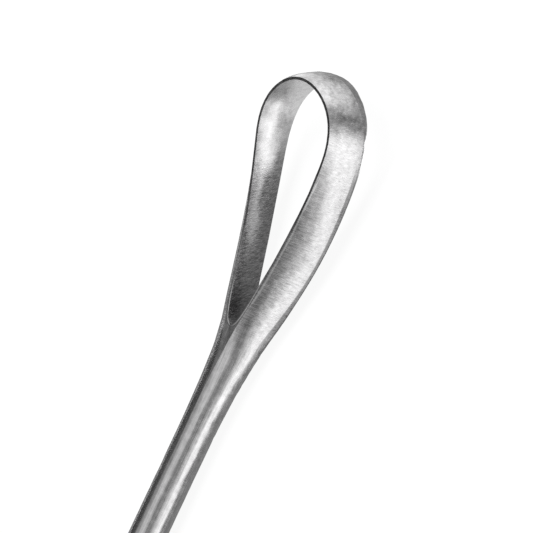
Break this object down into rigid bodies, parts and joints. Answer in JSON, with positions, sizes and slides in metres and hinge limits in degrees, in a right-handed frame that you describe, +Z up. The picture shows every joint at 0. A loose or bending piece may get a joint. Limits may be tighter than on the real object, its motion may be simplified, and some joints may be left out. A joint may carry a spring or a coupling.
{
  "type": "uterine curette",
  "caption": "Uterine curette in one forged piece: an open teardrop loop of thin-edged band, bent up from a round shaft, on a flat handle with a rounded butt.",
  "frame": {"origin": "middle of the instrument's length and width, on the surface it lies on", "axes": "+X along the instrument from the butt of the handle to the tip of the loop, +Y across the loop, +Z up, the side the loop's scraping edge faces"},
  "size_m": [0.29, 0.0158, 0.0128],
  "materials": {
    "steel": "satin brushed stainless steel"
  },
  "bodies": {
    "root": {"curette": "steel"}
  },
  "joints": []
}
